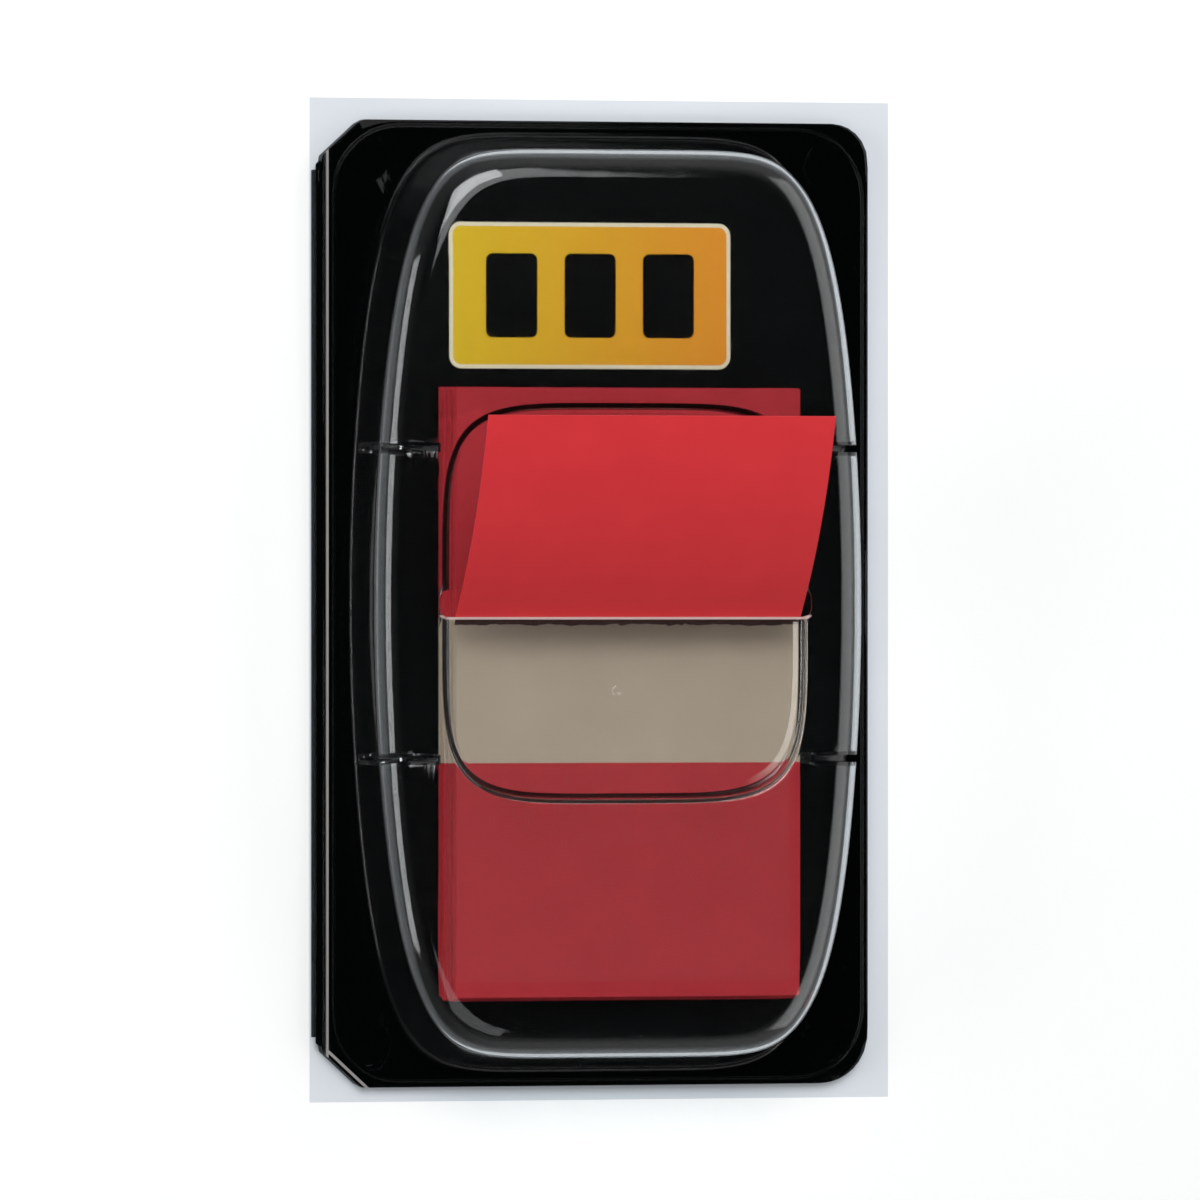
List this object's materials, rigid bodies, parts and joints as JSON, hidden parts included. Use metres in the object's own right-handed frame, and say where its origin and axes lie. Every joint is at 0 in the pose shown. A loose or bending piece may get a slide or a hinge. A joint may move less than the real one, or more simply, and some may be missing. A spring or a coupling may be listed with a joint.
{
  "type": "sticky index tabs",
  "caption": "Flat clear plastic dispenser case folded round a black card, with a stack of red-ended sticky film index tabs under a raised bubble and the leading tab standing out of its slot.",
  "frame": {"origin": "middle of the flat back of the case, halfway between the crease and the free edge", "axes": "+Z points out of the front, +Y runs up the card along its length, +X runs across it away from the fold"},
  "size_m": [0.0411, 0.0686, 0.0154],
  "materials": {
    "clear_case": "clear thermoformed PET sheet, glossy",
    "backing_card": "coated black card",
    "tab_stack": "matte film, red ends and milky clear middle",
    "leading_tab": "matte film, red end and clear sticky end"
  },
  "bodies": {
    "root": {"clear_case": "clear_case", "backing_card": "backing_card", "tab_stack": "tab_stack", "leading_tab": "leading_tab"}
  },
  "joints": []
}
